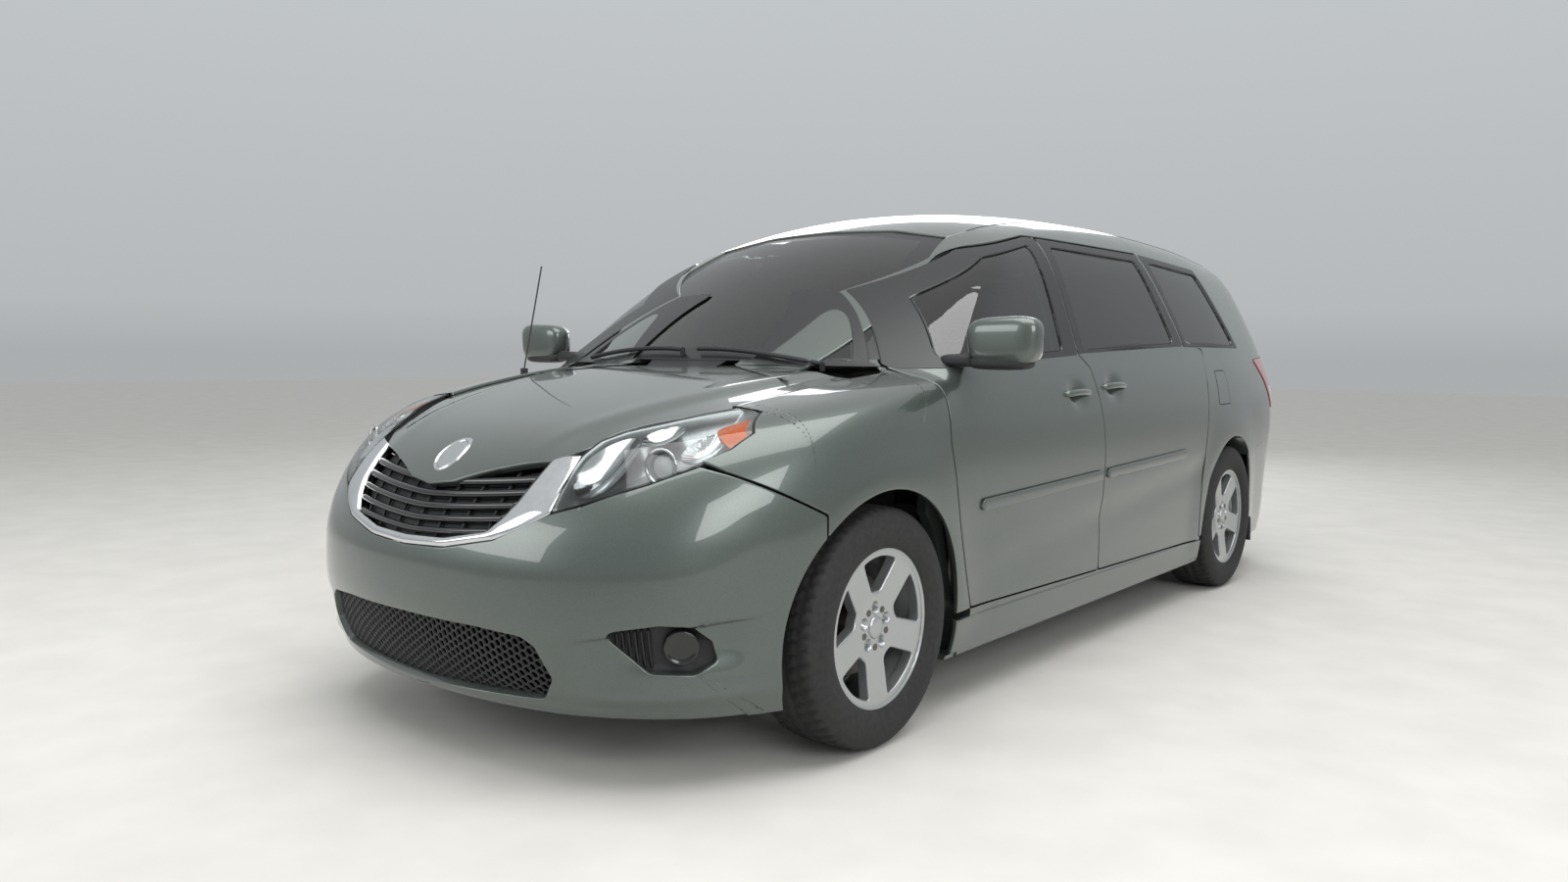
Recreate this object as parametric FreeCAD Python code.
import FreeCAD, Part
import math
import os
from FreeCAD import Vector

# A minivan, in millimetres. The front faces -Y, the left side is +X and +Z is up.
# The origin lies on the ground, below the middle of the length and the width.

os.makedirs("parts", exist_ok=True)
doc = FreeCAD.newDocument("minivan")

# Driving dimensions
DIMENSIONS = (
    # name, value, meaning
    ("wheelbase", 3030, "front axle to rear axle"),
    ("front_overhang", 930, "front axle to foremost point"),
    ("rear_overhang", 1125, "rear axle to rearmost point"),
    ("track", 1720, "between the middles of the two tyres on an axle"),
    ("hub_height", 350, "axle height with the tyres loaded"),
    ("tyre_radius", 350, "outer radius of a loaded tyre"),
    ("tyre_width", 235, "section width of a tyre"),
    ("rim_radius", 243, "outer radius of the rim's flange"),
    ("rim_width", 205, "width of the rim over its flanges"),
    ("hub_bore", 66, "diameter of the rim's centre bore"),
    ("lug_circle", 114.3, "pitch circle diameter of the wheel studs"),
    ("lug_hole", 15, "diameter of the rim's stud holes"),
    ("stud_radius", 6, "radius of a wheel stud"),
    ("disc_radius", 148, "radius of the front brake disc"),
    ("disc_width", 28, "thickness of the brake disc"),
    ("arch_radius", 400, "radius of a wheel arch"),
    ("door_gap", 6, "gap round a door or a lid"),
    ("trim_gap", 0.3, "gap between a fixed piece and its seat"),
    ("door_depth", 58, "thickness of a door"),
    ("panel_depth", 22, "thickness of a bolted outer panel with its inner frame"),
    ("pillar_depth", 62, "thickness of the body side with its pillars"),
    ("glass_depth", 5, "thickness of a pane"),
    ("glass_inset", 5, "how far a pane lies below the outer skin"),
    ("floor_height", 262, "height of the cabin floor's underside"),
    ("floor_depth", 24, "thickness of the cabin floor"),
    ("seat_width", 500, "width of a seat"),
    ("steering_wheel_radius", 190, "outer radius of the steering wheel"),
    ("steering_wheel_grip", 15, "radius of the steering wheel's rim"),
    ("mirror_length", 250, "length of a door mirror's housing"),
)

sheet = doc.addObject("Spreadsheet::Sheet", "driving_dimensions")
for row, (name, value, meaning) in enumerate(DIMENSIONS, start=1):
    sheet.set("A%d" % row, meaning)
    sheet.set("B%d" % row, str(value))
    sheet.setAlias("B%d" % row, name)
doc.recompute()


def size(name):
    """A driving dimension, read from the sheet."""
    return float(getattr(sheet, name))


WHEELBASE = size("wheelbase")
LENGTH = WHEELBASE + size("front_overhang") + size("rear_overhang")
FRONT_AXLE = -LENGTH / 2 + size("front_overhang")
REAR_AXLE = FRONT_AXLE + WHEELBASE
HALF_TRACK = size("track") / 2
HUB = size("hub_height")
ARCH = size("arch_radius")
GAP = size("door_gap")
SEAT = size("trim_gap")


# The outer skin is one formula: the side, nose, tail, hood, windscreen and roof are
# surfaces of their own, blended where they meet. Its places along the length are
# stations of the design wheelbase, and the two axles and the two ends move them.

DESIGN_STATIONS = (-2542.5, -1612.5, 1417.5, 2542.5)
REAL_STATIONS = (-LENGTH / 2, FRONT_AXLE, REAR_AXLE, LENGTH / 2)


def stretch(place, before, after):
    """Move a place with the two axles and the two ends."""
    span = 0
    while span < 2 and place > before[span + 1]:
        span += 1
    share = (place - before[span]) / (before[span + 1] - before[span])
    return after[span] + share * (after[span + 1] - after[span])


def at(station):
    """The real place of a design station."""
    return stretch(station, DESIGN_STATIONS, REAL_STATIONS)


class Curve:
    """A smooth curve through rows of (place, value) that never swings past them."""

    def __init__(self, rows):
        self.places = [row[0] for row in rows]
        self.values = [row[1] for row in rows]
        count = len(rows)
        spans = [self.places[i + 1] - self.places[i] for i in range(count - 1)]
        rises = [(self.values[i + 1] - self.values[i]) / spans[i] for i in range(count - 1)]
        self.slopes = [rises[0]]
        for i in range(1, count - 1):
            slope = 0.0
            if rises[i - 1] * rises[i] > 0:
                first = 2 * spans[i] + spans[i - 1]
                second = spans[i] + 2 * spans[i - 1]
                slope = (first + second) / (first / rises[i - 1] + second / rises[i])
            self.slopes.append(slope)
        self.slopes.append(rises[-1])

    def __call__(self, place):
        places, values, slopes = self.places, self.values, self.slopes
        if place <= places[0]:
            return values[0] + slopes[0] * (place - places[0])
        if place >= places[-1]:
            return values[-1] + slopes[-1] * (place - places[-1])
        i = 0
        while place > places[i + 1]:
            i += 1
        span = places[i + 1] - places[i]
        share = (place - places[i]) / span
        rest = 1 - share
        return (values[i] * (1 + 2 * share) * rest * rest
                + values[i + 1] * share * share * (3 - 2 * share)
                + span * share * rest * (slopes[i] * rest - slopes[i + 1] * share))


# height, half width of the body at the middle of its length
side_width = Curve((
    (120, 925), (200, 944), (300, 955), (420, 959), (560, 968), (680, 979), (800, 985),
    (900, 981), (980, 970), (1060, 950), (1120, 930), (1250, 886), (1400, 828), (1550, 760),
    (1700, 682)))
# station, how much narrower the body is there
taper = Curve((
    (-2700, 150), (-2400, 95), (-2100, 48), (-1800, 14), (-1400, 3), (-600, 0), (600, 0),
    (1400, 8), (1900, 34), (2300, 78), (2700, 140)))
# station, height of the hood on the centre line
hood_line = Curve((
    (-2600, 690), (-2450, 815), (-2300, 893), (-2100, 961), (-1900, 1010), (-1700, 1050),
    (-1500, 1082), (-1300, 1106), (-1000, 1132)))
# station, height of the roof on the centre line
roof_line = Curve((
    (-1200, 1560), (-700, 1652), (-300, 1704), (200, 1738), (800, 1750), (1400, 1738),
    (1900, 1706), (2400, 1646)))
# height, station of the nose on the centre line
nose_line = Curve((
    (100, -2400), (180, -2455), (260, -2500), (360, -2530), (460, -2542), (560, -2538),
    (640, -2518), (720, -2480), (800, -2425), (900, -2345), (1050, -2200)))
# height, station of the tail on the centre line
tail_line = Curve((
    (100, 2440), (250, 2500), (400, 2535), (560, 2542), (700, 2538), (900, 2520),
    (1050, 2496), (1150, 2470), (1350, 2400), (1600, 2300), (1800, 2210)))
# station, how widely the side and the top blend there
shoulder = Curve((
    (-2500, 110), (-2000, 150), (-1500, 120), (-1250, 110), (-700, 120), (-300, 190),
    (1800, 190), (2400, 130)))


def ramp(place, low, high):
    """Smooth step from 0 to 1 between two places."""
    share = min(max((place - low) / (high - low), 0.0), 1.0)
    return share * share * (3 - 2 * share)


def blend(first, second, width):
    """The larger of two values, rounded where they differ by less than the width."""
    overlap = max(width - abs(first - second), 0.0) / width
    return max(first, second) + overlap ** 3 * width / 6


def skin(x, y, z):
    """Distance outside the body's skin, roughly, and negative inside it."""
    across = abs(x)
    station = stretch(y, REAL_STATIONS, DESIGN_STATIONS)
    width = side_width(z) - taper(station) - ramp(z, 1000, 1650) * 30 * ramp(station, 600, 2300)
    for axle in DESIGN_STATIONS[1:3]:
        radius = math.hypot(station - axle, z - HUB)
        width += 12 * math.exp(-((radius - ARCH) / 110) ** 2) * ramp(z, 150, 300)
    side = (across - width) * 0.97
    nose = (nose_line(z) + 150 * (across / 700) ** 2.2 - station) * 0.93
    tail = (station - tail_line(z) + 95 * (across / 800) ** 2.6) * 0.96
    run = station + 1480 - 150 * (across / 700) ** 2
    bulge = 28 * math.sin(min(max(run / 900, -0.2), 1.2) * math.pi)
    screen = (z - 1070 - 0.655 * run - bulge) * 0.83
    roof = z - roof_line(station) + 70 * (across / 640) ** 2.2
    hood = (z - hood_line(station) + 34 * (across / 750) ** 2.4) * 0.95
    top = -blend(-blend(screen, roof, 220), -hood, 25)
    walls = blend(blend(side, nose, 480), tail, 260)
    return blend(walls, top, shoulder(station))


def reach(start, way, depth):
    """Where a ray from inside the body comes to a depth below the skin."""
    near = 0.0
    far = 60.0
    while True:
        spot = start + way * far
        if skin(spot.x, spot.y, spot.z) > -depth:
            break
        near = far
        far += 60.0
        if far > 3000:
            raise ValueError("a ray misses the skin")
    for _ in range(22):
        middle = (near + far) / 2
        spot = start + way * middle
        if skin(spot.x, spot.y, spot.z) > -depth:
            far = middle
        else:
            near = middle
    return start + way * near


def spread(first, last, count):
    """Evenly spaced places."""
    return [first + (last - first) * i / (count - 1) for i in range(count)]


CORE_HEIGHT = 820
UP = Vector(0, 0, 1)


def side_rays(stations, angles):
    """Rays out of the body's long middle line, by station and by angle above level."""
    rows = []
    for station in stations:
        start = Vector(0, at(station), CORE_HEIGHT)
        turns = [math.radians(angle) for angle in angles]
        rows.append([(start, Vector(math.cos(turn), 0, math.sin(turn))) for turn in turns])
    return rows


def end_rays(station, angles, heights):
    """Rays out of an upright line, by angle from +X towards +Y and by height."""
    rows = []
    for angle in angles:
        turn = math.radians(angle)
        way = Vector(math.cos(turn), math.sin(turn), 0)
        rows.append([(Vector(0, at(station), height), way) for height in heights])
    return rows


def top_rays(places, first_station, last_station, count, low):
    """Rays straight up, with the first station of each row set by its place across."""
    rows = []
    for x in places:
        stations = spread(first_station(abs(x)), last_station(abs(x)), count)
        rows.append([(Vector(x, at(station), low), UP) for station in stations])
    return rows


def handles(points):
    """The control points of a smooth cubic curve through points."""
    first = (points[1] - points[0]) * (1 / 3)
    last = (points[-1] - points[-2]) * (1 / 3)
    poles = [points[0], points[0] + first]
    for before, point, after in zip(points, points[1:], points[2:]):
        reach_out = (after - before) * (1 / 6)
        poles += [point - reach_out, point + reach_out]
    return poles + [points[-1] - last, points[-1]]


def surface(points):
    """A smooth surface through a grid of points."""
    rows = [handles(row) for row in points]
    columns = [handles(list(column)) for column in zip(*rows)]
    poles = [list(row) for row in zip(*columns)]
    counts = (len(points), len(points[0]))
    knots = [[float(i) for i in range(count)] for count in counts]
    folds = [[4] + [2] * (count - 2) + [4] for count in counts]
    patch = Part.BSplineSurface()
    patch.buildFromPolesMultsKnots(poles, folds[0], folds[1], knots[0], knots[1], False, False, 3, 3)
    return patch


def slab(rays, outside, inside):
    """The solid between two depths below the skin."""
    outer = surface([[reach(start, way, outside) for start, way in row] for row in rays])
    inner = surface([[reach(start, way, inside) for start, way in row] for row in rays])
    faces = [outer.toShape(), inner.toShape()]
    outer_ends = outer.bounds()
    inner_ends = inner.bounds()
    for i in range(2):
        rims = (outer.uIso(outer_ends[i]), inner.uIso(inner_ends[i]))
        faces.append(Part.makeRuledSurface(rims[0].toShape(), rims[1].toShape()))
        rims = (outer.vIso(outer_ends[i + 2]), inner.vIso(inner_ends[i + 2]))
        faces.append(Part.makeRuledSurface(rims[0].toShape(), rims[1].toShape()))
    shell = Part.makeShell(faces)
    shell.sewShape()
    solid = Part.makeSolid(shell)
    if solid.Volume < 0:
        solid.reverse()
    return solid


def to_side(first, second, depth):
    return Vector(depth, at(first), second)


def to_front(first, second, depth):
    return Vector(first, depth, second)


def to_plan(first, second, depth):
    return Vector(first, at(second), depth)


def wire(points, radius):
    """A closed outline with rounded corners, from its corners."""
    edges = []
    count = len(points)
    ends = []
    for i in range(count):
        before, corner, after = points[i - 1], points[i], points[(i + 1) % count]
        back = before - corner
        ahead = after - corner
        turn = back.getAngle(ahead)
        cut = 0.0
        if radius > 0 and math.pi - turn > 0.02:
            cut = min(radius / math.tan(turn / 2), 0.45 * back.Length, 0.45 * ahead.Length)
        start = corner + back.normalize() * cut
        end = corner + ahead.normalize() * cut
        if cut > 0.01:
            bow = cut * math.tan(turn / 2)
            inward = (back + ahead).normalize()
            middle = corner + inward * (bow / math.sin(turn / 2) - bow)
            ends.append((start, middle, end))
        else:
            ends.append((corner, None, corner))
    for i in range(count):
        start, middle, end = ends[i]
        if middle is not None:
            edges.append(Part.Arc(start, middle, end).toShape())
        edges.append(Part.LineSegment(end, ends[(i + 1) % count][0]).toShape())
    return Part.Wire(edges)


def prism(view, corners, low, high, radius=0.0, grow=0.0):
    """An outline drawn in one view and carried through from low to high."""
    outline = wire([view(first, second, low) for first, second in corners], radius)
    if grow:
        outline = outline.makeOffset2D(grow, 2)
    way = {to_side: Vector(1, 0, 0), to_front: Vector(0, 1, 0), to_plan: UP}[view]
    return Part.Face(outline).extrude(way * (high - low))


def flipped(shape):
    return shape.mirror(Vector(0, 0, 0), Vector(1, 0, 0))


def box(x, y, z):
    """A box from its spans."""
    corner = Vector(x[0], y[0], z[0])
    return Part.makeBox(x[1] - x[0], y[1] - y[0], z[1] - z[0], corner)


def rod(start, end, radius):
    way = end - start
    return Part.makeCylinder(radius, way.Length, start, way)


def add(name, shape, spot=Vector(0, 0, 0)):
    """Put a finished piece into the document, with its own origin at a spot."""
    if isinstance(shape, (list, tuple)):
        shape = Part.makeCompound([solid for piece in shape for solid in piece.Solids])
    feature = doc.addObject("Part::Feature", name)
    feature.Label = name
    feature.Shape = shape
    feature.Placement = FreeCAD.Placement(spot, FreeCAD.Rotation())
    return feature


# Outlines in the side view, as (station, height)
FRONT_DOOR = (
    (-120, 304), (-1116, 325), (-1165, 456), (-1228, 628), (-1288, 864), (-1292, 1090),
    (-1050, 1345), (-705, 1508), (-330, 1580), (-262, 1580), (-292, 1140), (-215, 1085),
    (-160, 850), (-141, 719))
SLIDE_DOOR = (
    (-120, 304), (-141, 719), (-160, 850), (-215, 1085), (-292, 1140), (-262, 1580),
    (700, 1588), (838, 1190), (1100, 1166), (1045, 1000), (1004, 736), (986, 541), (990, 284))
FRONT_GLASS = ((-1200, 1108), (-1010, 1322), (-700, 1474), (-350, 1545), (-408, 1148))
SLIDE_GLASS = ((-225, 1152), (-195, 1548), (640, 1550), (745, 1190))
QUARTER_GLASS = ((905, 1190), (795, 1556), (1450, 1538), (1648, 1190))
CORNER_GLASS = ((-1400, 1106), (-1312, 1106), (-1085, 1322))
FUEL_DOOR = ((1180, 910), (1185, 1066), (1330, 1066), (1345, 910))
TAIL_LAMP = ((1935, 1118), (2080, 1000), (2230, 860), (2700, 840), (2700, 1145))
FENDER = (
    (-2142, 838), (-1880, 704), (-1880, 400), (-1116, 300), (-1116, 325), (-1165, 456),
    (-1228, 628), (-1288, 864), (-1292, 1092), (-1450, 1092), (-1500, 1300), (-2142, 1300))
BODY_SIDE = (
    (-1330, 178), (1060, 178), (1500, 500), (1700, 640), (2200, 722), (2700, 735),
    (2700, 1800), (-560, 1800), (-900, 1500), (-1450, 1092), (-1330, 1092))
UNDER_FENDER = ((-1340, 190), (-1116, 190), (-1116, 325), (-1165, 456), (-1228, 628),
                (-1288, 864), (-1292, 1092), (-1340, 1092))

# Half outlines in the front view, as (across, height)
WINDSHIELD = ((0, 1612), (300, 1602), (545, 1562), (728, 1112), (400, 1108), (0, 1108))
SURROUND = ((0, 774), (150, 800), (400, 850), (466, 858), (478, 717), (340, 645), (170, 612), (0, 604))
GRILLE = ((0, 764), (140, 788), (385, 842), (372, 748), (316, 664), (160, 634), (0, 628))
HEADLAMP = (
    (467, 857), (476, 896), (513, 921), (580, 944), (640, 968), (700, 988), (762, 970),
    (818, 920), (805, 880), (763, 836), (683, 794), (618, 768), (480, 716))
LOWER_GRILLE = ((0, 420), (300, 418), (440, 408), (478, 385), (512, 300), (470, 238), (0, 222))
FOG_RECESS = ((560, 405), (711, 446), (795, 455), (832, 420), (842, 335), (700, 335))
LIFTGATE = ((0, 1652), (300, 1638), (500, 1592), (585, 1500), (655, 1250), (700, 1150),
            (705, 850), (655, 700), (600, 655), (0, 652))
REAR_GLASS = ((0, 1560), (430, 1535), (500, 1490), (580, 1215), (0, 1205))

# Half outlines in the plan view, as (across, station)
HOOD = (
    (0, -2452), (100, -2440), (400, -2334), (466, -2268), (480, -2190), (516, -2126),
    (583, -2032), (655, -1922), (690, -1756), (712, -1600), (735, -1420), (400, -1468),
    (0, -1482))
COWL = ((0, -1480), (400, -1466), (735, -1418), (745, -1385), (745, -1250), (0, -1250))
ROOF = ((0, -860), (600, -860), (600, 1900), (575, 2215), (0, 2262))


def both(half):
    """A whole outline from its left half, which starts and ends on the middle line."""
    return list(half) + [(-first, second) for first, second in reversed(half) if first > 0]


LOW = 150
HIGH = 1900
FAR_SIDE = 1300
DOOR_DEPTH = size("door_depth")
PILLAR_DEPTH = size("pillar_depth")
PANEL_DEPTH = size("panel_depth")
GLASS_INSET = size("glass_inset")
GLASS_DEPTH = size("glass_depth")
JAMB_DEPTH = 32
JAMB_LIP = 36


def side_prism(corners, grow=0.0, radius=0.0, inner=250):
    return prism(to_side, corners, inner, FAR_SIDE, radius, grow)


def arch(axle, radius):
    return rod(Vector(300, axle, HUB), Vector(FAR_SIDE, axle, HUB), radius)


SIDE_STATIONS = (-1460, -1380, -1300, -1180, -1000, -800, -600, -400, -100, 250, 600, 950, 1250,
                 1550, 1800, 1980, 2120, 2240, 2330, 2400, 2450)
SIDE_ANGLES = (-38, -33, -27, -20, -12, -4, 4, 11, 17, 23, 29, 35, 40, 45, 50, 54, 58)
SIDE_RAYS = side_rays(SIDE_STATIONS, SIDE_ANGLES)


def cut_all(shape, cutters):
    return shape.cut([cutter for cutter in cutters])


HINGE_PIN = 5
HINGE_PLAY = 0.3
HINGE_EYE = 9
HINGE_LENGTH = 34
HINGE_EAR = 8
HINGE_ROOM = HINGE_LENGTH / 2 + HINGE_EAR + 5
DOOR_AXIS = (958, at(-1140))
DOOR_HINGE_HEIGHTS = (590, 900)
HOOD_AXIS = (at(-1412), 1044)
HOOD_HINGE_PLACES = (-600, 600)
GATE_AXIS = (at(2250), 1618)
GATE_HINGE_PLACES = (-300, 300)


def hinge_eye(start, way):
    """The moving half of a hinge: a bored eye round the pin."""
    eye = Part.makeCylinder(HINGE_EYE, HINGE_LENGTH, start - way * (HINGE_LENGTH / 2), way)
    bore = Part.makeCylinder(HINGE_PIN + HINGE_PLAY, HINGE_LENGTH + 2,
                             start - way * (HINGE_LENGTH / 2 + 1), way)
    return eye.cut(bore)


def hinge_pin(start, way, ear_reach):
    """The fixed half of a hinge: a pin through two ears that reach back to the body."""
    half = HINGE_LENGTH / 2 + HINGE_PLAY
    pin = Part.makeCylinder(HINGE_PIN, 2 * (half + HINGE_EAR), start - way * (half + HINGE_EAR), way)
    pieces = []
    for side in (-1, 1):
        foot = start + way * (side * half if side > 0 else -half - HINGE_EAR)
        pieces.append(Part.makeCylinder(HINGE_EYE, HINGE_EAR, foot, way))
        root = foot + ear_reach
        corners = [foot, root]
        across = way.cross(ear_reach).normalize() * HINGE_EYE * 0.9
        outline = Part.makePolygon([corners[0] - across, corners[0] + across,
                                    corners[1] + across, corners[1] - across, corners[0] - across])
        pieces.append(Part.Face(outline).extrude(way * HINGE_EAR))
    return pin.fuse(pieces)


# Body sides with their pillars, jambs and sills
def make_body_side():
    whole = slab(SIDE_RAYS, 0, PILLAR_DEPTH + JAMB_DEPTH)
    rebate = slab(SIDE_RAYS, -40, PILLAR_DEPTH)
    body = whole.common(side_prism(BODY_SIDE))
    body = body.cut(prism(to_plan, both(ROOF), 1200, HIGH, 0, GAP / 2))
    body = body.cut(prism(to_front, both(WINDSHIELD), at(-1700), at(-400)))
    body = body.cut(arch(REAR_AXLE, ARCH))
    body = body.cut(arch(FRONT_AXLE, ARCH + 10))
    swing_room = box((0, FAR_SIDE), (at(-1400), DOOR_AXIS[1] + 55), (345, 1250))
    cutters = []
    for outline in (FRONT_DOOR, SLIDE_DOOR):
        cutters.append(rebate.common(side_prism(outline, GAP / 2, 18)))
        cutters.append(side_prism(outline, -JAMB_LIP, 40))
    cutters.append(side_prism(FRONT_DOOR, GAP / 2).common(swing_room))
    cutters.append(rebate.common(side_prism(UNDER_FENDER)))
    cutters.append(side_prism(QUARTER_GLASS, 0, 30))
    cutters.append(side_prism(CORNER_GLASS, 0, 12))
    cutters.append(slab(SIDE_RAYS, -40, 45).common(side_prism(TAIL_LAMP, SEAT)))
    cutters.append(slab(SIDE_RAYS, -40, 12).common(side_prism(FUEL_DOOR, 2, 16)))
    cutters.append(prism(to_front, both(LIFTGATE), at(1900), at(2700), 0, GAP / 2))
    body = cut_all(body, cutters)
    body = max(body.Solids, key=lambda solid: solid.Volume)
    # The hinge pillar stands inboard of the space that the door's leading edge swings into
    pillar = [box((862, 893), (DOOR_AXIS[1] + 50, DOOR_AXIS[1] + 110), (290, 1015)),
              box((702, 893), (DOOR_AXIS[1] + 50, DOOR_AXIS[1] + 110), (960, 1015)),
              box((702, 762), (at(-1330), DOOR_AXIS[1] + 110), (960, 1015)),
              box((702, 890), (at(-1330), at(-1304)), (960, 1015))]
    for height in DOOR_HINGE_HEIGHTS:
        start = Vector(DOOR_AXIS[0], DOOR_AXIS[1], height)
        pillar.append(hinge_pin(start, UP, Vector(-85, 75, 0)))
    return body.fuse(pillar)


body_side = make_body_side()
add("body_sides", [body_side, flipped(body_side)])

# Fuel door, shut
fuel_door = slab(SIDE_RAYS, 0, 11.7).common(side_prism(FUEL_DOOR, -SEAT, 14))
add("fuel_door", fuel_door)


# Doors
DOOR_RAYS = side_rays(SIDE_STATIONS[1:10], SIDE_ANGLES)
SLIDE_RAYS = side_rays(SIDE_STATIONS[6:14], SIDE_ANGLES)
MOULDING_HEIGHT = 38
MOULDING_DEPTH = 12
HANDLE_LENGTH = 210


def moulding(first, last):
    """A rub strip on a door between two stations."""
    rays = side_rays(spread(first - 40, last + 40, 7), spread(-15, -3, 5))
    low = (655 + 0.0285 * (first + 1070), 655 + 0.0285 * (last + 1070))
    half = MOULDING_HEIGHT / 2
    outline = ((first, low[0] - half), (first, low[0] + half), (last, low[1] + half),
               (last, low[1] - half))
    return slab(rays, -MOULDING_DEPTH, 4).common(side_prism(outline, 0, 14))


def handle(station, height):
    """A pull handle that stands off a door on its two feet, over its cup."""
    first = at(station)
    bar = rod(Vector(1004, first, height), Vector(1004, first + HANDLE_LENGTH, height), 11)
    feet = [rod(Vector(950, first + place, height), Vector(1004, first + place, height), 11)
            for place in (0, HANDLE_LENGTH)]
    return bar.fuse(feet)


def handle_cup(station, height):
    middle = Vector(1010, at(station) + HANDLE_LENGTH / 2 - 10, height - 4)
    return Part.makeSphere(62, middle)


# What the windscreen and its pillar take, in front of the door's frame and the corner pane
PILLAR_WIDTH = 58
pillar_room = prism(to_front, both(WINDSHIELD), at(-1700), at(-400), 0, PILLAR_WIDTH)


def make_front_door():
    door = slab(DOOR_RAYS, 0, DOOR_DEPTH).common(side_prism(FRONT_DOOR, -GAP / 2, 14))
    pocket = box((870, DOOR_AXIS[0] + HINGE_EYE + 1.5), (DOOR_AXIS[1] - 40, DOOR_AXIS[1] + 64),
                 (-HINGE_ROOM, HINGE_ROOM))
    cutters = [side_prism(FRONT_GLASS, 0, 22), handle_cup(-480, 992)]
    eyes = []
    for height in DOOR_HINGE_HEIGHTS:
        start = Vector(DOOR_AXIS[0], DOOR_AXIS[1], height)
        cutters.append(pocket.translated(Vector(0, 0, height)))
        eyes.append(hinge_eye(start, UP))
        eyes.append(Part.makeBox(12, 70 - HINGE_EYE + 2, HINGE_LENGTH,
                                 start + Vector(-6, HINGE_EYE - 2, -HINGE_LENGTH / 2)))
    # Behind its outer skin the door is stepped back where its rear frame swings past the pillar,
    # and it has no depth below the foot of the windscreen pillar
    step = slab(DOOR_RAYS, 6, 90).common(side_prism(
        ((-332, 1620), (-325, 1120), (-270, 1120), (-240, 1620))))
    lobes = [box((0, 850), (at(-1400), at(-1100)), (300, 1100)),
             box((0, 655), (at(-1400), at(-200)), (1500, 1600))]
    door = cut_all(door, cutters + [pillar_room, step] + lobes)
    return door.fuse(eyes + [moulding(-1092, -160), handle(-480, 992)])


def make_slide_door():
    door = slab(SLIDE_RAYS, 0, PILLAR_DEPTH - SEAT).common(side_prism(SLIDE_DOOR, -GAP / 2, 14))
    door = cut_all(door, [side_prism(SLIDE_GLASS, 0, 26), handle_cup(-140, 1012)])
    return door.fuse([moulding(-118, 745), handle(-140, 1012)])


front_door = make_front_door()
add("front_door_left", front_door)
add("front_door_right", flipped(front_door))
slide_door = make_slide_door()
add("slide_doors", [slide_door, flipped(slide_door)])


def pane(rays, outline, radius):
    """A window pane, a little smaller than its opening."""
    glass = slab(rays, GLASS_INSET, GLASS_INSET + GLASS_DEPTH)
    return glass.common(side_prism(outline, -SEAT, radius, 560))


front_pane = pane(DOOR_RAYS, FRONT_GLASS, 22).cut(pillar_room)
add("door_glass_left", front_pane)
add("door_glass_right", flipped(front_pane))
side_panes = [
    pane(SLIDE_RAYS, SLIDE_GLASS, 26),
    pane(side_rays(SIDE_STATIONS[9:16], SIDE_ANGLES), QUARTER_GLASS, 30),
    pane(side_rays(SIDE_STATIONS[:6], SIDE_ANGLES), CORNER_GLASS, 12).cut(pillar_room)]
add("side_glass", side_panes + [flipped(piece) for piece in side_panes])


# Roof
def make_roof():
    places = (-640, -560, -420, -220, 0, 220, 420, 560, 640)
    rays = top_rays(places, lambda x: -880, lambda x: 2266, 14, 900)
    roof = slab(rays, 0, PANEL_DEPTH)
    roof = roof.common(prism(to_plan, both(ROOF), 1200, HIGH))
    roof = roof.cut(prism(to_front, both(WINDSHIELD), at(-1700), at(-400)))
    roof = roof.cut(prism(to_front, both(LIFTGATE), at(1900), at(2700), 0, GAP / 2))
    pins = [hinge_pin(Vector(place, GATE_AXIS[0], GATE_AXIS[1]), Vector(1, 0, 0), Vector(0, -62, 30))
            for place in GATE_HINGE_PLACES]
    return roof.fuse(pins)


add("roof", make_roof())


# Windscreen
screen_places = (-760, -600, -400, -200, 0, 200, 400, 600, 760)
screen_rays = top_rays(screen_places, lambda x: -1490 + 150 * (x / 700) ** 2, lambda x: -560, 10, 900)
windshield = slab(screen_rays, GLASS_INSET, GLASS_INSET + GLASS_DEPTH)
add("windshield", windshield.common(prism(to_front, both(WINDSHIELD), at(-1700), at(-400), 0, -SEAT)))


# Hood
hood_nose = Curve(((0, -2456), (400, -2345), (490, -2215), (580, -2050), (660, -1930), (745, -1500)))
hood_places = (-745, -690, -620, -520, -400, -260, -130, 0, 130, 260, 400, 520, 620, 690, 745)
hood_rays = top_rays(hood_places, lambda x: hood_nose(x) - 6, lambda x: -1400, 10, 650)


def make_hood():
    hood = slab(hood_rays, 0, PANEL_DEPTH)
    hood = hood.common(prism(to_plan, both(HOOD), 600, HIGH, 0, -GAP / 2))
    across = Vector(1, 0, 0)
    eyes = []
    for place in HOOD_HINGE_PLACES:
        start = Vector(place, HOOD_AXIS[0], HOOD_AXIS[1])
        eyes.append(hinge_eye(start, across))
        neck = Part.makePolygon([
            start + Vector(-8, -HINGE_EYE + 2, -6), start + Vector(-8, -90, -26),
            start + Vector(-8, -150, -18), start + Vector(-8, -150, -2),
            start + Vector(-8, -HINGE_EYE + 2, 6), start + Vector(-8, -HINGE_EYE + 2, -6)])
        eyes.append(Part.Face(neck).extrude(Vector(16, 0, 0)))
    return hood.fuse(eyes)


add("hood", make_hood())


# Liftgate with its pane
def rear_rays(shares, heights):
    """Rays straight back, by share of the gate's half width and by height."""
    return [[(Vector(share * gate_room(z), at(1500), z), Vector(0, 1, 0)) for z in heights]
            for share in shares]


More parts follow.
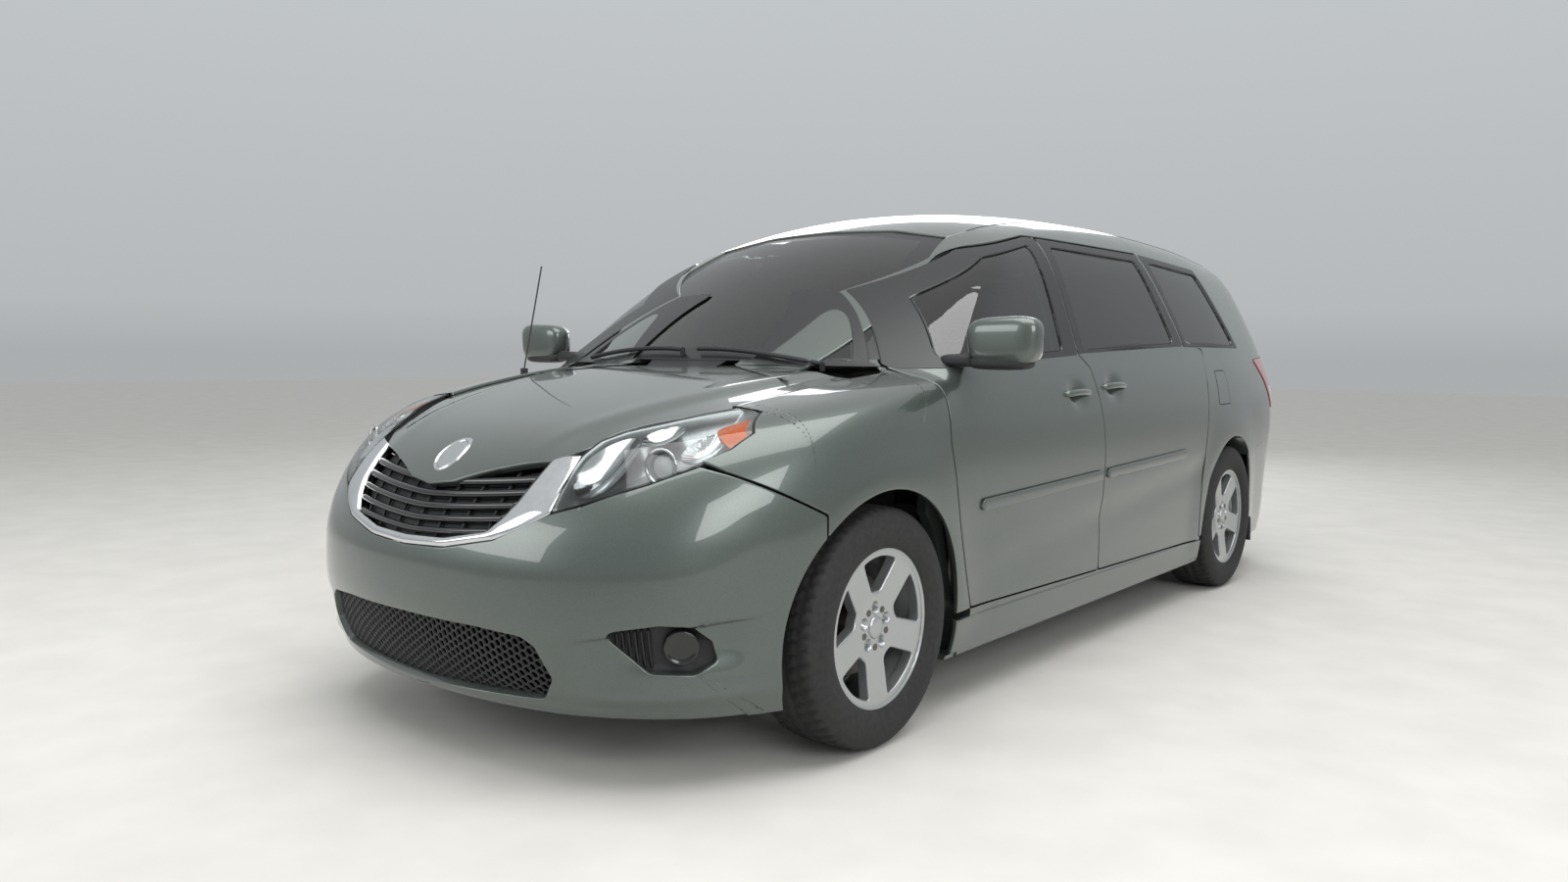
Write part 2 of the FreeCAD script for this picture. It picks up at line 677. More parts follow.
# height, half width that the liftgate's surface is made over
gate_room = Curve(((600, 735), (1150, 730), (1400, 680), (1600, 585), (1680, 515)))
gate_rays = rear_rays(spread(-1, 1, 11), (630, 700, 820, 960, 1080, 1180, 1290, 1400, 1500, 1580,
                                          1630, 1660))


def make_liftgate():
    gate = slab(gate_rays, 0, DOOR_DEPTH)
    gate = gate.common(prism(to_front, both(LIFTGATE), at(1900), at(2700), 24, -GAP / 2))
    gate = gate.cut(prism(to_front, both(REAR_GLASS), at(1900), at(2700), 30))
    gate = gate.cut(box((-700, 700), (at(1900), at(2219)), (1400, HIGH)))
    across = Vector(1, 0, 0)
    eyes = []
    for place in GATE_HINGE_PLACES:
        start = Vector(place, GATE_AXIS[0], GATE_AXIS[1])
        gate = gate.cut(box((place - HINGE_ROOM, place + HINGE_ROOM), (start.y - 60, start.y + 60),
                            (start.z - 32, start.z + 60)))
        eyes.append(hinge_eye(start, across))
        eyes.append(box((place - 8, place + 8), (start.y - 7, start.y + 7),
                        (start.z - 60, start.z - HINGE_EYE + 2)))
    return gate.fuse(eyes)


add("liftgate", make_liftgate())
gate_pane = slab(gate_rays, GLASS_INSET, GLASS_INSET + GLASS_DEPTH)
add("liftgate_glass", gate_pane.common(prism(to_front, both(REAR_GLASS), at(1900), at(2700), 30, -SEAT)))

# Tail lamps
lamp_rays = side_rays(SIDE_STATIONS[14:], SIDE_ANGLES[4:13])
tail_lamp = slab(lamp_rays, 0, 44.7).common(side_prism(TAIL_LAMP, 0))
tail_lamp = tail_lamp.cut(prism(to_front, both(LIFTGATE), at(1900), at(2700), 0, GAP / 2))
add("tail_lamps", [tail_lamp, flipped(tail_lamp)])

# Fenders
FENDER_DEPTH = 3
fender_rays = side_rays((-2190, -2100, -2000, -1900, -1780, -1640, -1500, -1380, -1270, -1180, -1080),
                        (-36, -28, -20, -12, -4, 4, 9, 13, 17, 21, 25))


def make_fender():
    fender = slab(fender_rays, 0, FENDER_DEPTH)
    fender = fender.common(side_prism(FENDER, -SEAT, 0, 400))
    cutters = [
        arch(FRONT_AXLE, ARCH),
        prism(to_plan, both(HOOD), 600, HIGH, 0, GAP / 2),
        prism(to_front, HEADLAMP, at(-2700), at(-1700), 0, SEAT),
        side_prism(FRONT_DOOR, GAP / 2),
        prism(to_front, both(WINDSHIELD), at(-1700), at(-400), 0, GAP),
        prism(to_plan, both(COWL), 900, HIGH),
        rod(Vector(DOOR_AXIS[0], DOOR_AXIS[1], 340), Vector(DOOR_AXIS[0], DOOR_AXIS[1], 420), 12)]
    return cut_all(fender, cutters)


fender = make_fender()
add("fenders", [fender, flipped(fender)])

# Front bumper
BUMPER_DEPTH = 30
front_rays = end_rays(-1350, (-176, -168, -158, -148, -138, -128, -118, -108, -99, -90, -81, -72, -62,
                              -52, -42, -32, -22, -12, -4),
                      (150, 190, 240, 300, 370, 440, 520, 600, 670, 730, 790, 850, 905, 960, 990))
BUMPER_FRONT = ((-2700, 172), (-1960, 178), (-1880, 400), (-1880, 704), (-2142, 838), (-2160, 990),
                (-2700, 990))


def make_front_bumper():
    bumper = slab(front_rays, 0, BUMPER_DEPTH)
    bumper = bumper.common(prism(to_side, BUMPER_FRONT, -FAR_SIDE, FAR_SIDE))
    cutters = [
        prism(to_front, both(SURROUND), at(-2700), at(-1500), 0, SEAT),
        prism(to_front, both(LOWER_GRILLE), at(-2700), at(-1500), 14),
        prism(to_plan, both(HOOD), 600, HIGH, 0, GAP / 2)]
    for side in (1, -1):
        lamp = [(side * x, z) for x, z in HEADLAMP]
        recess = [(side * x, z) for x, z in FOG_RECESS]
        cutters.append(prism(to_front, lamp, at(-2700), at(-1500), 0, SEAT))
        cutters.append(prism(to_front, recess, at(-2700), at(-1850), 10))
    wheel_room = arch(FRONT_AXLE, ARCH)
    cutters += [wheel_room, flipped(wheel_room)]
    return cut_all(bumper, cutters)


front_bumper = make_front_bumper()
add("front_bumper", front_bumper.Solids)


def in_front(outline, outside, inside, grow=0.0, radius=0.0):
    """A piece of the nose between two depths below the skin, with a front-view outline."""
    return slab(front_rays, outside, inside).common(
        prism(to_front, outline, at(-2700), at(-1700), radius, grow))


# Grille: surround, slats and backing
surround = in_front(both(SURROUND), 0, 40).cut(prism(to_front, both(GRILLE), at(-2700), at(-1500), 12))
surround = surround.cut(prism(to_plan, both(HOOD), 600, HIGH, 0, GAP / 2))
add("grille_surround", surround.Solids)
SLAT_HEIGHTS = (655, 690, 725, 760, 795)
slats = []
for height in SLAT_HEIGHTS:
    slats.append(box((-420, 420), (at(-2700), at(-2000)), (height - 9, height + 9)))
slats.append(box((-420, 420), (at(-2700), at(-2000)), (625, 636)))
posts = [box((x - 5, x + 5), (at(-2700), at(-2000)), (600, 880)) for x in (-280, -140, 0, 140, 280)]
grille = in_front(both(GRILLE), 10, 36, -SEAT, 12).common(slats[0].fuse(slats[1:]))
grille_back = in_front(both(GRILLE), 30, 36, -SEAT, 12)
grille_bars = slab(front_rays, 20, 36).common(posts[0].fuse(posts[1:]))
grille_bars = grille_bars.common(prism(to_front, both(GRILLE), at(-2700), at(-1700), 12, -SEAT))
grille = grille.fuse([grille_back, grille_bars])
grille = grille.cut(prism(to_plan, both(HOOD), 600, HIGH, 0, GAP / 2))
add("grille", grille.Solids)

lower_grille = in_front(both(LOWER_GRILLE), 16, 29, -SEAT, 14)
add("lower_grille", lower_grille)

# Headlamps: housing behind a clear lens
lens = in_front(HEADLAMP, 0, 5)
lens = lens.cut(prism(to_plan, both(HOOD), 600, HIGH, 0, GAP / 2))
housing = in_front(HEADLAMP, 5.3, 60)
housing = housing.cut(prism(to_plan, both(HOOD), 600, HIGH, 0, GAP / 2))
add("headlamp_lenses", [lens, flipped(lens)])
add("headlamp_housings", [housing, flipped(housing)])

# Fog lamp bezels
bezel = in_front(FOG_RECESS, 14, 29, -SEAT, 10)
add("fog_bezels", [bezel, flipped(bezel)])

# Rear bumper
back_rays = end_rays(1300, (4, 12, 22, 32, 42, 52, 62, 72, 81, 90, 99, 108, 118, 128, 138, 148, 158,
                            168, 176),
                     (150, 210, 280, 360, 450, 540, 620, 680, 720, 760))
BUMPER_REAR = ((1700, 180), (1700, 640), (2200, 722), (2700, 735), (2700, 180))


def make_rear_bumper():
    bumper = slab(back_rays, 0, BUMPER_DEPTH)
    bumper = bumper.common(prism(to_side, BUMPER_REAR, -FAR_SIDE, FAR_SIDE, 0, -SEAT))
    wheel_room = arch(REAR_AXLE, ARCH)
    gate_room = prism(to_front, both(LIFTGATE), at(1900), at(2700), 0, GAP / 2)
    return cut_all(bumper, [wheel_room, flipped(wheel_room), gate_room])


add("rear_bumper", make_rear_bumper().Solids)


# Floor pan: floor, rails, firewall, strut towers, inner wheel arches and cross members
FLOOR = size("floor_height")
FLOOR_DEPTH = size("floor_depth")
FLOOR_TOP = FLOOR + FLOOR_DEPTH
RAIL = (440, 505)
TOWER_TOP = 905
FIREWALL = (at(-1172), at(-1150))
SHELF = 1012
STRUT_LEAN = (800, 190, 620, 900)


def steering_point(height):
    """The point of the left steering axis at a height."""
    low_x, low_z, high_x, high_z = STRUT_LEAN
    share = (height - low_z) / (high_z - low_z)
    return Vector(low_x + (high_x - low_x) * share, FRONT_AXLE, height)


sill_room = slab(SIDE_RAYS, -40, PILLAR_DEPTH + JAMB_DEPTH + SEAT)


def make_floor_pan():
    pieces = [
        box((-790, 790), (at(-1165), at(985)), (FLOOR, FLOOR_TOP)),
        box((-640, 640), (at(980), at(1860)), (FLOOR, FLOOR_TOP)),
        box((-700, 700), (at(1850), at(2380)), (FLOOR, FLOOR_TOP)),
        box((-700, 700), FIREWALL, (FLOOR, SHELF)),
        box((-700, 700), (at(-1470), FIREWALL[1]), (998, SHELF)),
        box((-560, 560), (at(-2200), at(-2150)), (250, 330)),
        box((-470, 470), (at(-2200), at(-2170)), (800, 840)),
        box((-560, 560), (at(2330), at(2400)), (FLOOR, 640))]
    for side in (1, -1):
        inner, outer = sorted((side * RAIL[0], side * RAIL[1]))
        pieces.append(box((inner, outer), (at(-2330), at(-1160)), (400, 490)))
        pieces.append(box((inner, outer), (at(-1200), at(-1130)), (FLOOR, 490)))
        pieces.append(box((inner, outer), (at(-2200), at(-2150)), (250, 840)))
        pieces.append(box((inner, outer), (at(-2425), at(-2300)), (410, 480)))
        pieces.append(box((inner, outer), (REAR_AXLE - 80, at(2400)), (200, FLOOR)))
        inner, outer = sorted((side * 700, side * 790))
        pieces.append(box((inner, outer), (at(-1172), at(-1140)), (FLOOR, 640)))
        inner, outer = sorted((side * 440, side * 690))
        pieces.append(box((inner, outer), (FRONT_AXLE - 110, FRONT_AXLE + 110), (TOWER_TOP - 12, TOWER_TOP)))
        inner, outer = sorted((side * 440, side * 470))
        pieces.append(box((inner, outer), (FRONT_AXLE - 110, FRONT_AXLE + 110), (470, TOWER_TOP)))
        inner, outer = sorted((side * 640, side * 655))
        pieces.append(box((inner, outer), (at(975), at(1870)), (FLOOR, 700)))
        inner, outer = sorted((side * 640, side * 880))
        wheel_house = rod(Vector(inner, REAR_AXLE, HUB), Vector(outer, REAR_AXLE, HUB), ARCH + 16)
        wheel_house = wheel_house.cut(rod(Vector(inner, REAR_AXLE, HUB), Vector(outer, REAR_AXLE, HUB),
                                          ARCH))
        wheel_house = wheel_house.cut(box((inner, outer), (at(900), at(1950)), (-120, FLOOR)))
        pieces.append(wheel_house)
        inner, outer = sorted((side * 780, side * 905))
        pieces.append(box((inner, outer), (at(-1120), at(975)), (200, FLOOR_TOP)))
    floor_pan = pieces[0].fuse(pieces[1:])
    holes = []
    for side in (1, -1):
        top = steering_point(TOWER_TOP)
        holes.append(rod(Vector(side * top.x, top.y, TOWER_TOP - 30),
                         Vector(side * top.x, top.y, TOWER_TOP + 10), 30))
        inner, outer = sorted((side * 630, side * 670))
        holes.append(rod(Vector(inner, REAR_AXLE, HUB), Vector(outer, REAR_AXLE, HUB), 70))
    holes.append(box((-2000, 2000), (at(-2700), at(-1300)), (SHELF, HIGH)))
    holes += [sill_room, flipped(sill_room)]
    return floor_pan.cut(holes)


add("floor_pan", make_floor_pan())

# Cowl between the hood and the windscreen
COWL_DEPTH = (7, 14)
cowl_rays = top_rays(screen_places, lambda x: -1500 + 60 * (x / 700) ** 2, lambda x: -1240, 8, 900)
cowl = slab(cowl_rays, COWL_DEPTH[0], COWL_DEPTH[1]).common(
    prism(to_plan, both(COWL), 900, HIGH, 0, -GAP))
cowl = cowl.cut([prism(to_front, both(WINDSHIELD), at(-1700), at(-400), 0, SEAT),
                 slab(SIDE_RAYS, -40, 40), flipped(slab(SIDE_RAYS, -40, 40))])
cowl = max(cowl.Solids, key=lambda solid: solid.Volume)
cowl_leg = box((-8, 8), (at(-1462), at(-1446)), (SHELF + SEAT, 1084))
add("cowl", cowl.fuse(cowl_leg))

# Engine and radiator
engine = box((-330, 300), (at(-1980), at(-1420)), (330, 820))
engine = engine.makeFillet(30, engine.Edges)
engine = engine.fuse([box((x - 30, x + 30), (FRONT_AXLE - 40, FRONT_AXLE + 40), (230 + SEAT, 340))
                      for x in (-260, 230)])
add("engine", engine)
radiator = box((-430, 430), (at(-2198), at(-2160)), (330 + SEAT, 800 - SEAT))
add("radiator", radiator)


# Wheels, on the X axis of their own place
TYRE_RADIUS = size("tyre_radius")
TYRE_WIDTH = size("tyre_width")
RIM_RADIUS = size("rim_radius")
RIM_WIDTH = size("rim_width")
BEAD_RADIUS = RIM_RADIUS - 14
SPOKE_COUNT = 5
BORE_RADIUS = size("hub_bore") / 2
LUG_CIRCLE = size("lug_circle") / 2
LUG_HOLE = size("lug_hole") / 2
STUD_RADIUS = size("stud_radius")
DISC_RADIUS = size("disc_radius")
DISC_WIDTH = size("disc_width")
FACE_PLACE = 46


def turned(profile, centre=Vector(0, 0, 0)):
    """A solid of revolution about X, from (place along the axle, radius) corners."""
    points = [Vector(place, 0, radius) for place, radius in profile]
    face = Part.Face(Part.makePolygon(points + points[:1]))
    return face.revolve(centre, Vector(1, 0, 0), 360)


def make_tyre():
    half = TYRE_WIDTH / 2
    top = TYRE_RADIUS
    base = BEAD_RADIUS + SEAT
    wall = RIM_WIDTH / 2 - 10
    profile = ((-wall, base), (-wall, base + 16), (-half + 4, base + 30), (-half, base + 58), (-half + 5, top - 26),
               (-half + 22, top - 6), (-half + 46, top), (half - 46, top), (half - 22, top - 6),
               (half - 5, top - 26), (half, base + 58), (half - 4, base + 30), (wall, base + 16), (wall, base),
               (wall - 24, base), (wall - 10, base + 60), (wall - 26, top - 18), (-wall + 26, top - 18),
               (-wall + 10, base + 60), (-wall + 24, base))
    return turned(profile)


def make_rim():
    half = RIM_WIDTH / 2
    bead = BEAD_RADIUS
    barrel = turned(((-half, RIM_RADIUS), (-half + 9, RIM_RADIUS), (-half + 9.7, bead), (-half + 40, bead),
                     (-half + 60, bead - 18), (half - 60, bead - 18), (half - 40, bead), (half - 9.7, bead),
                     (half - 9, RIM_RADIUS), (half, RIM_RADIUS), (half, RIM_RADIUS - 8),
                     (half - 14, bead - 10), (half - 46, bead - 12), (half - 62, bead - 26),
                     (-half + 58, bead - 26), (-half + 42, bead - 9), (-half, bead - 6)))
    hub = turned(((FACE_PLACE - 22, BORE_RADIUS), (FACE_PLACE + 8, BORE_RADIUS), (FACE_PLACE + 14, 44),
                  (FACE_PLACE + 10, 84), (FACE_PLACE - 22, 84)))
    pieces = [barrel, hub]
    outer = bead - 12
    for i in range(SPOKE_COUNT):
        corners = [Vector(0, -42, 60), Vector(0, 42, 60), Vector(0, 30, 110), Vector(0, 34, 170),
                   Vector(0, 58, outer - 6), Vector(0, -58, outer - 6), Vector(0, -34, 170),
                   Vector(0, -30, 110)]
        flat = Part.Face(wire(corners, 16)).extrude(Vector(60, 0, 0))
        profile = [Vector(FACE_PLACE - 20, -80, 60), Vector(FACE_PLACE + 9, -80, 60),
                   Vector(FACE_PLACE + 16, -80, 120), Vector(half - 16, -80, outer),
                   Vector(half - 50, -80, outer), Vector(FACE_PLACE - 12, -80, 120)]
        shape = Part.Face(Part.makePolygon(profile + profile[:1])).extrude(Vector(0, 160, 0))
        spoke = flat.translated(Vector(FACE_PLACE - 30, 0, 0)).fuse(
            Part.Face(wire(corners, 16)).extrude(Vector(60, 0, 0)).translated(Vector(FACE_PLACE + 25, 0, 0)))
        spoke = spoke.common(shape)
        spoke.rotate(Vector(0, 0, 0), Vector(1, 0, 0), 360 * i / SPOKE_COUNT)
        pieces.append(spoke)
    rim = pieces[0].fuse(pieces[1:])
    holes = []
    for i in range(5):
        turn = math.radians(36 + 72 * i)
        middle = Vector(0, LUG_CIRCLE * math.sin(turn), LUG_CIRCLE * math.cos(turn))
        holes.append(rod(middle, middle + Vector(100, 0, 0), LUG_HOLE))
    return rim.cut(holes)


def make_hub():
    """Brake disc with its hub, studs and nuts."""
    seat = FACE_PLACE - 22
    disc = turned(((seat - 60, 33 - SEAT), (seat - 60, 40), (seat - 8, 40), (seat - 8, 62), (seat - 50, 62),
                   (seat - 50, DISC_RADIUS), (seat - 50 + DISC_WIDTH, DISC_RADIUS),
                   (seat - 50 + DISC_WIDTH, 78), (seat - SEAT, 78), (seat - SEAT, BORE_RADIUS - SEAT),
                   (seat + 12, BORE_RADIUS - SEAT), (seat + 12, 0), (seat - 10, 0), (seat - 10, 20 + SEAT), (seat - 60, 20 + SEAT)))
    pieces = []
    for i in range(5):
        turn = math.radians(36 + 72 * i)
        middle = Vector(seat - 4, LUG_CIRCLE * math.sin(turn), LUG_CIRCLE * math.cos(turn))
        pieces.append(rod(middle, middle + Vector(52, 0, 0), STUD_RADIUS))
        nut = [middle + Vector(39.6, 10.5 * math.cos(math.radians(60 * j)), 10.5 * math.sin(math.radians(60 * j)))
               for j in range(6)]
        pieces.append(Part.Face(Part.makePolygon(nut + nut[:1])).extrude(Vector(16, 0, 0)))
    return disc.fuse(pieces)


tyre = make_tyre()
rim = make_rim()
hub = make_hub()
for end, axle in (("front", FRONT_AXLE), ("rear", REAR_AXLE)):
    for side, word in ((1, "left"), (-1, "right")):
        corner = end + "_" + word
        spot = Vector(side * HALF_TRACK, axle, HUB)
        for name, piece in (("tyre_", tyre), ("rim_", rim), ("hub_", hub)):
            add(name + corner, piece.copy() if side > 0 else flipped(piece), spot)


# Knuckles on the inclined steering axis
AXIS_LOW = Vector(STRUT_LEAN[0], FRONT_AXLE, STRUT_LEAN[1])
AXIS_HIGH = Vector(STRUT_LEAN[2], FRONT_AXLE, STRUT_LEAN[3])
AXIS_WAY = (AXIS_HIGH - AXIS_LOW).normalize()
SPINDLE_END = HALF_TRACK + FACE_PLACE - 22 - 10 - SEAT
KNUCKLE_FACE = HALF_TRACK + FACE_PLACE - 22 - 60 - 2


def make_knuckle():
    pieces = [rod(Vector(700, FRONT_AXLE, HUB), Vector(SPINDLE_END, FRONT_AXLE, HUB), 20)]
    pieces.append(rod(Vector(735, FRONT_AXLE, HUB), Vector(KNUCKLE_FACE, FRONT_AXLE, HUB), 52))
    low = steering_point(214)
    high = steering_point(470)
    pieces.append(box((728, 775), (FRONT_AXLE - 26, FRONT_AXLE + 26), (214, 440)))
    pieces.append(rod(AXIS_LOW - AXIS_WAY * 16, low + AXIS_WAY * 20, 9))
    pieces.append(rod(low, low + AXIS_WAY * 24, 22))
    pieces.append(rod(steering_point(400), high, 24))
    caliper = box((798, 850), (FRONT_AXLE + 96, FRONT_AXLE + 168), (HUB - 60, HUB + 60))
    room = rod(Vector(HALF_TRACK + FACE_PLACE - 22 - 53, FRONT_AXLE, HUB),
               Vector(HALF_TRACK + FACE_PLACE - 22 - 50 + DISC_WIDTH + 3, FRONT_AXLE, HUB), DISC_RADIUS + 3)
    caliper = caliper.cut(room)
    pieces.append(caliper)
    pieces.append(box((735, 800), (FRONT_AXLE + 20, FRONT_AXLE + 120), (HUB - 20, HUB + 20)))
    knuckle = pieces[0].fuse(pieces[1:])
    return knuckle


knuckle = make_knuckle()
add("knuckle_left", knuckle)
add("knuckle_right", flipped(knuckle))


def make_front_suspension():
    pieces = [box((-460, 460), (FRONT_AXLE - 60, FRONT_AXLE + 60), (170, 230))]
    for side in (1, -1):
        low = Vector(side * AXIS_LOW.x, FRONT_AXLE, AXIS_LOW.z)
        way = Vector(side * AXIS_WAY.x, 0, AXIS_WAY.z)
        inner, outer = sorted((side * 420, side * (AXIS_LOW.x - 12)))
        pieces.append(box((inner, outer), (FRONT_AXLE - 24, FRONT_AXLE + 24), (178, 202)))
        pieces.append(rod(low - way * 12, low + way * 12, 26))
        inner, outer = sorted((side * RAIL[0], side * RAIL[1]))
        pieces.append(box((inner, outer), (FRONT_AXLE - 30, FRONT_AXLE + 30), (200, 400 - SEAT)))
    arms = pieces[0].fuse(pieces[1:])
    bores = []
    struts = []
    for side in (1, -1):
        low = Vector(side * AXIS_LOW.x, FRONT_AXLE, AXIS_LOW.z)
        way = Vector(side * AXIS_WAY.x, 0, AXIS_WAY.z)
        bores.append(rod(low - way * 20, low + way * 20, 9 + SEAT))
        foot = steering_point(470)
        foot = Vector(side * foot.x, foot.y, foot.z) + way * SEAT
        top = steering_point(TOWER_TOP - 40)
        top = Vector(side * top.x, top.y, top.z)
        struts.append(rod(foot, foot + way * 300, 24).fuse([
            rod(foot + way * 252, foot + way * 260, 58), rod(foot + way * 260, top, 11),
            rod(foot + way * 256, top, 46)]))
    return [arms.cut(bores)] + struts


add("front_suspension", make_front_suspension())


ARM = (664, 700)


def make_rear_suspension():
    """Trailing arms beside the wheel houses, joined by a beam under the floor."""
    low = 180
    beam = rod(Vector(-670, REAR_AXLE - 140, 215), Vector(670, REAR_AXLE - 140, 215), 32)
    pieces = []
    for side in (1, -1):
        inner, outer = sorted((side * ARM[0], side * ARM[1]))
        pieces.append(box((inner, outer), (REAR_AXLE - 470, REAR_AXLE + 60), (low, 250)))
        pieces.append(box((inner, outer), (REAR_AXLE - 470, REAR_AXLE - 437), (240, FLOOR - SEAT)))
        pieces.append(rod(Vector(side * ARM[0], REAR_AXLE, HUB), Vector(side * KNUCKLE_FACE, REAR_AXLE, HUB), 52))
        pieces.append(rod(Vector(side * ARM[0], REAR_AXLE, HUB), Vector(side * SPINDLE_END, REAR_AXLE, HUB), 20))
        pieces.append(box((inner, outer), (REAR_AXLE - 60, REAR_AXLE + 60), (200, HUB + 40)))
    return beam.fuse(pieces)


add("rear_suspension", make_rear_suspension())


# Hood hinges on the cowl shelf
def make_hood_hinge_base():
    pieces = []
    for place in HOOD_HINGE_PLACES:
        start = Vector(place, HOOD_AXIS[0], HOOD_AXIS[1])
        pieces.append(hinge_pin(start, Vector(1, 0, 0), Vector(0, 0, SHELF - HOOD_AXIS[1])))
    return pieces


add("hood_hinges", make_hood_hinge_base())


# Mirrors on the front doors
MIRROR_LENGTH = size("mirror_length")


def make_mirror():
    outline = ((955, 1112), (968, 1088), (1010, 1080), (955 + MIRROR_LENGTH, 1100),
               (955 + MIRROR_LENGTH, 1235), (985, 1252), (955, 1225))
    shell = prism(to_front, outline, at(-1212), at(-1105), 30)
    shell = shell.makeFillet(24, [edge for edge in shell.Edges if edge.BoundBox.YMax < at(-1200)])
    glass_room = prism(to_front, outline, at(-1118), at(-1080), 30, -12)
    shell = shell.cut(glass_room)
    arm = prism(to_front, ((880, 1060), (880, 1100), (985, 1130), (1010, 1100), (960, 1085)),
                at(-1190), at(-1125))
    return shell.fuse(arm)


door_skin_room = slab(DOOR_RAYS, -SEAT, 120)
mirror = make_mirror().cut(door_skin_room)
mirror = max(mirror.Solids, key=lambda solid: solid.Volume)
add("mirror_left", mirror)
add("mirror_right", flipped(mirror))

# Cabin: dashboard, steering wheel and seats
DASH = ((-1330, 1040), (-1300, 1058), (-1000, 1082), (-860, 1050), (-820, 950), (-860, 700),
        (-1000, 560), (-1149.6, 560), (-1149.6, SHELF + SEAT), (-1330, SHELF + SEAT))
dashboard = prism(to_side, DASH, -690, 690, 14)
dashboard = dashboard.cut([box((-700, 700), (at(-1430), FIREWALL[1] + SEAT), (0, SHELF + SEAT)),
                           slab(SIDE_RAYS, -60, 120), flipped(slab(SIDE_RAYS, -60, 120))])
WHEEL_CENTRE = Vector(370, at(-650), 950)
WHEEL_WAY = Vector(0, 0.906, 0.423)
GRIP = size("steering_wheel_grip")
WHEEL_RADIUS = size("steering_wheel_radius")
column_start = WHEEL_CENTRE - WHEEL_WAY * 60
column = rod(WHEEL_CENTRE - WHEEL_WAY * 330, column_start, 42)
column = column.cut(rod(column_start - WHEEL_WAY * 40, column_start + WHEEL_WAY, 16 + SEAT))
add("dashboard", dashboard.fuse(column))


def make_steering_wheel():
    ring = Part.makeTorus(WHEEL_RADIUS - GRIP, GRIP, WHEEL_CENTRE, WHEEL_WAY)
    across = Vector(1, 0, 0)
    down = across.cross(WHEEL_WAY)
    if down.z > 0:
        down = down * -1
    hub_piece = rod(WHEEL_CENTRE - WHEEL_WAY * 46, WHEEL_CENTRE - WHEEL_WAY * 4, 66)
    middle = WHEEL_CENTRE - WHEEL_WAY * 22
    pieces = [hub_piece, rod(WHEEL_CENTRE - WHEEL_WAY * 90, WHEEL_CENTRE - WHEEL_WAY * 30, 16)]
    for way in (across, across * -1, down):
        pieces.append(rod(middle + way * 40, WHEEL_CENTRE + way * (WHEEL_RADIUS - GRIP), 11))
    return ring.fuse(pieces)


add("steering_wheel", make_steering_wheel())

SEAT_WIDTH = size("seat_width")
SEAT_PROFILE = ((-300, 210), (-290, 380), (-250, 400), (130, 372), (160, 420), (330, 940), (300, 975),
                (330, 1010), (345, 1120), (380, 1170), (430, 1160), (440, 1080), (410, 980),
                (440, 930), (330, 560), (270, 300), (250, 210))
SEAT_FOOT = ((-240, 0), (-240, 212), (220, 212), (220, 0))


def make_seat(across, station, width):
    outline = [(place, height) for place, height in SEAT_PROFILE]
    corners = [Vector(across - width / 2, at(station) + place, FLOOR_TOP + SEAT + height)
               for place, height in outline]
    cushion = Part.Face(wire(corners, 30)).extrude(Vector(width, 0, 0))
    side_cut = box((across - width / 2 - 1, across - 130), (at(station) - 400, at(station) + 600),
                   (FLOOR_TOP + 985, FLOOR_TOP + 1300))
    other_cut = box((across + 130, across + width / 2 + 1), (at(station) - 400, at(station) + 600),
                    (FLOOR_TOP + 985, FLOOR_TOP + 1300))
    if width < 700:
        cushion = cushion.cut([side_cut, other_cut])
    foot = [Vector(across - width / 2 + 60, at(station) + place, FLOOR_TOP + SEAT + height)
            for place, height in SEAT_FOOT]
    base = Part.Face(wire(foot, 0)).extrude(Vector(width - 120, 0, 0))
    return cushion.fuse(base)


add("front_seats", [make_seat(x, -190, SEAT_WIDTH) for x in (-370, 370)])
add("middle_seats", [make_seat(x, 720, SEAT_WIDTH) for x in (-370, 370)])
add("rear_seat", make_seat(0, 1690, 1180))

# Underside: fuel tank and exhaust
tank = box((-420, 100), (at(200), at(900)), (178, FLOOR - SEAT))
tank = tank.makeFillet(25, [edge for edge in tank.Edges if abs(edge.BoundBox.ZLength) > 10])
add("fuel_tank", tank)
exhaust = rod(Vector(250, at(-1200), 215), Vector(250, REAR_AXLE - 190, 215), 30)
over_beam = rod(Vector(250, REAR_AXLE + 90, 215), Vector(250, at(1960), 215), 30)
muffler = rod(Vector(250, at(1950), 206), Vector(250, at(2330), 206), 55)
hanger = box((235, 265), (at(2100), at(2140)), (240, FLOOR - SEAT))
tail_pipe = rod(Vector(250, at(2300), 215), Vector(250, at(2440), 215), 28)
under_beam = box((222, 278), (REAR_AXLE - 200, REAR_AXLE + 100), (152, 176))
links = [box((222, 278), (place - 12, place + 12), (152, 215)) for place in (REAR_AXLE - 200, REAR_AXLE + 100)]
add("exhaust", exhaust.fuse([over_beam, under_beam, muffler, hanger, tail_pipe] + links))

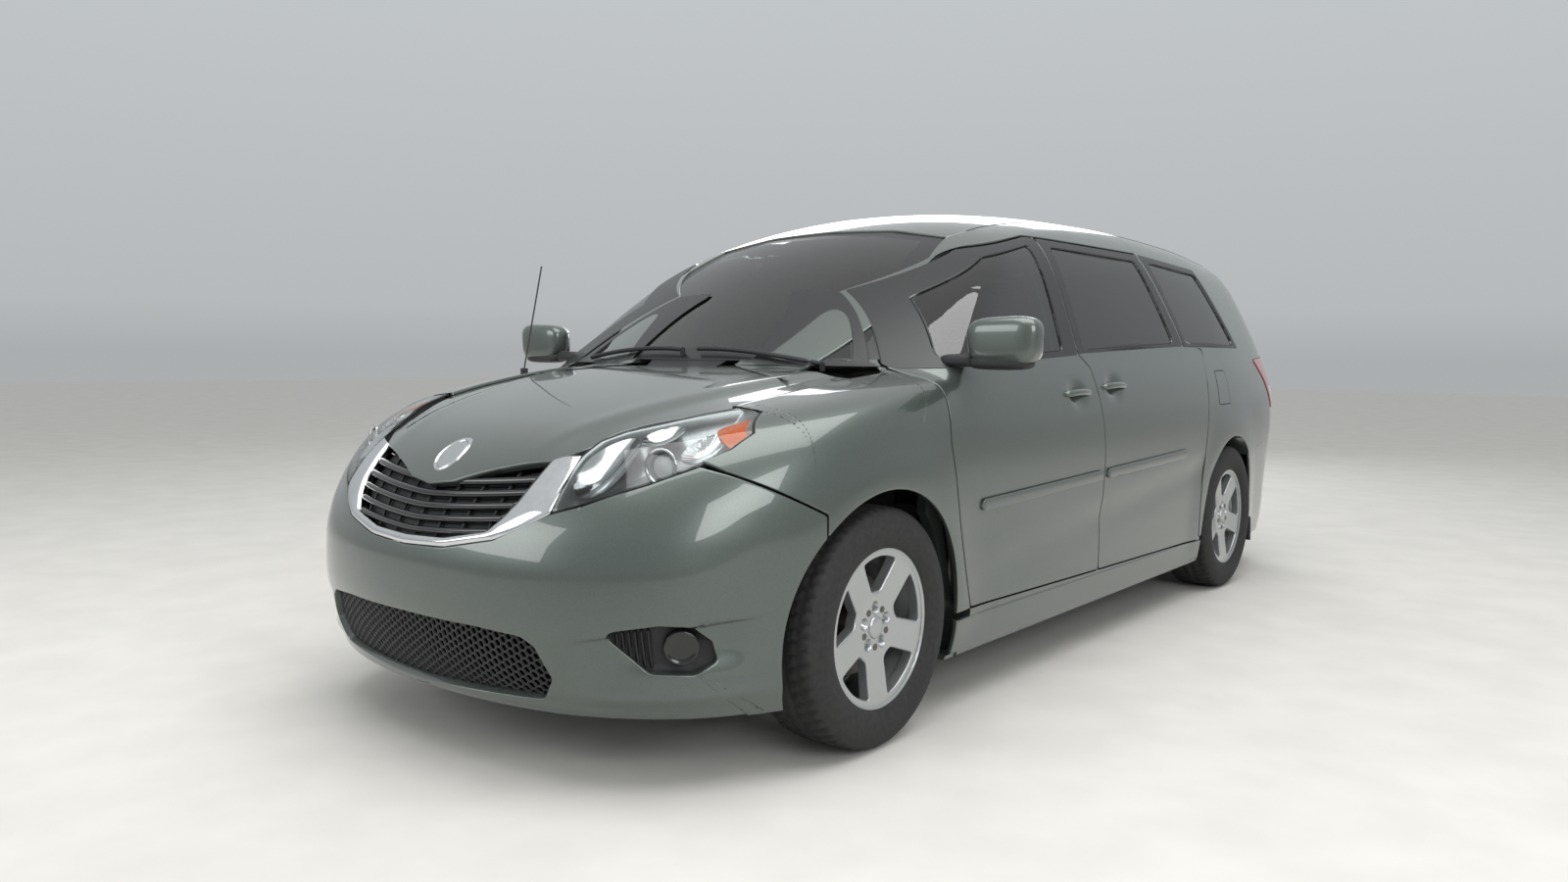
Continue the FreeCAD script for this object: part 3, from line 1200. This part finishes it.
# Wipers and antenna
WIPER_PIVOTS = (((560, -1378), (40, -1400)), ((-30, -1404), (-560, -1352)))


def skin_top(x, station):
    return reach(Vector(x, at(station), 900), UP, 0)


def make_wiper(first, last, seat):
    """A blade along the glass, with its pivot standing on the cowl."""
    spots = [skin_top(first[0] + (last[0] - first[0]) * share,
                      first[1] + (last[1] - first[1]) * share) for share in (0, 0.33, 0.67, 1)]
    lift = Vector(0, -0.4, 0.9) * 16
    line = Part.BSplineCurve()
    line.interpolate([spot + lift for spot in spots])
    path = Part.Wire(line.toShape())
    start = line.value(0)
    ring = Part.Wire(Part.makeCircle(8, start, line.tangent(0)[0]))
    blade = path.makePipeShell([ring], True, True)
    foot = rod(spots[0] - Vector(0, 0, 40), start + Vector(0, 0, 4), 9)
    wiper = blade.fuse(foot).cut(seat)
    return max(wiper.Solids, key=lambda solid: solid.Volume)


screen_seat = slab(screen_rays, GLASS_INSET - SEAT, 200).common(
    prism(to_front, both(WINDSHIELD), at(-1700), at(-400)))
wiper_seat = slab(cowl_rays, COWL_DEPTH[0] - SEAT, 200)
wipers = [make_wiper(*pivots, seat) for pivots, seat in zip(WIPER_PIVOTS, (wiper_seat, screen_seat))]
add("wipers", wipers)
mast_foot = skin_top(-790, -1500)
mast = rod(mast_foot - Vector(0, 0, 20), mast_foot + Vector(0, 0, 22), 14).fuse(
    rod(mast_foot + Vector(0, 0, 20), mast_foot + Vector(-40, 120, 420), 3))
mast = mast.cut(flipped(slab(fender_rays, -SEAT, 60)))
add("antenna", mast)

# Checks and files
doc.recompute()
features = [item for item in doc.Objects if item.TypeId == "Part::Feature"]
for item in doc.Objects:
    if "Invalid" in item.State or "Error" in item.State:
        raise RuntimeError(item.Name + " failed")
for feature in features:
    shape = feature.Shape
    if shape.isNull() or not shape.isValid():
        raise RuntimeError(feature.Label + " is not a valid solid")
    print(feature.Label, len(shape.Solids), round(shape.Volume / 1000))
for feature in features:
    feature.Shape.exportStep("parts/" + feature.Label + ".step")
